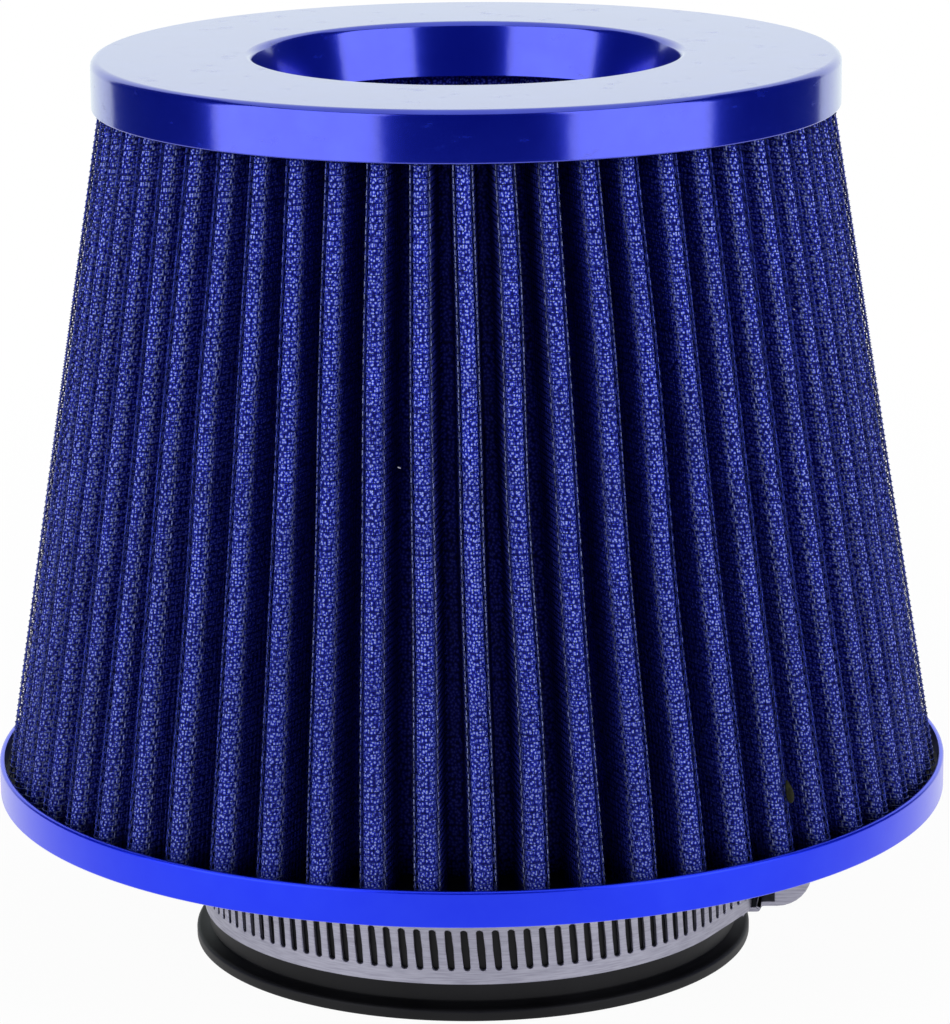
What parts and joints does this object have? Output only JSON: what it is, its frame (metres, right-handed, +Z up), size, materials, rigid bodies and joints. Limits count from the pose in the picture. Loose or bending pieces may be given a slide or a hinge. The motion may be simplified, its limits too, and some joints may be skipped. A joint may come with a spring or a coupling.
{
  "type": "performance air filter",
  "caption": "Conical pleated engine air filter with a funnel mouth in its blue metal cap, a blue base band and a rubber neck held by a worm-drive hose clamp.",
  "frame": {"origin": "on the filter's axis, at the lower end of its neck", "axes": "+Z up the axis from the neck to the cap, +X towards the clamp's screw"},
  "size_m": [0.15, 0.15, 0.1418],
  "materials": {
    "black_rubber": "satin black rubber",
    "blue_lacquer": "polished aluminium under clear blue lacquer",
    "blue_cloth": "blue cotton gauze under a fine wire net",
    "sealant": "dark cast sealant",
    "clamp_steel": "bright rolled stainless steel",
    "screw_steel": "bright zinc-plated steel"
  },
  "bodies": {
    "filter": {"neck_flange": "black_rubber", "base_ring": "blue_lacquer", "pleated_media": "blue_cloth", "inner_cone_media": "blue_cloth", "inner_cone_cap": "black_rubber", "top_potting": "sealant", "top_cap": "blue_lacquer", "clamp_band": "clamp_steel", "clamp_saddle": "clamp_steel", "clamp_housing": "clamp_steel"},
    "screw": {"clamp_screw": "screw_steel"}
  },
  "joints": [
    {"name": "clamp_screw_turn", "type": "hinge", "parent": "filter", "child": "screw", "pos_m": [0.04855, 0, 0.0109], "axis": [0, 1, 0], "continuous": true}
  ]
}
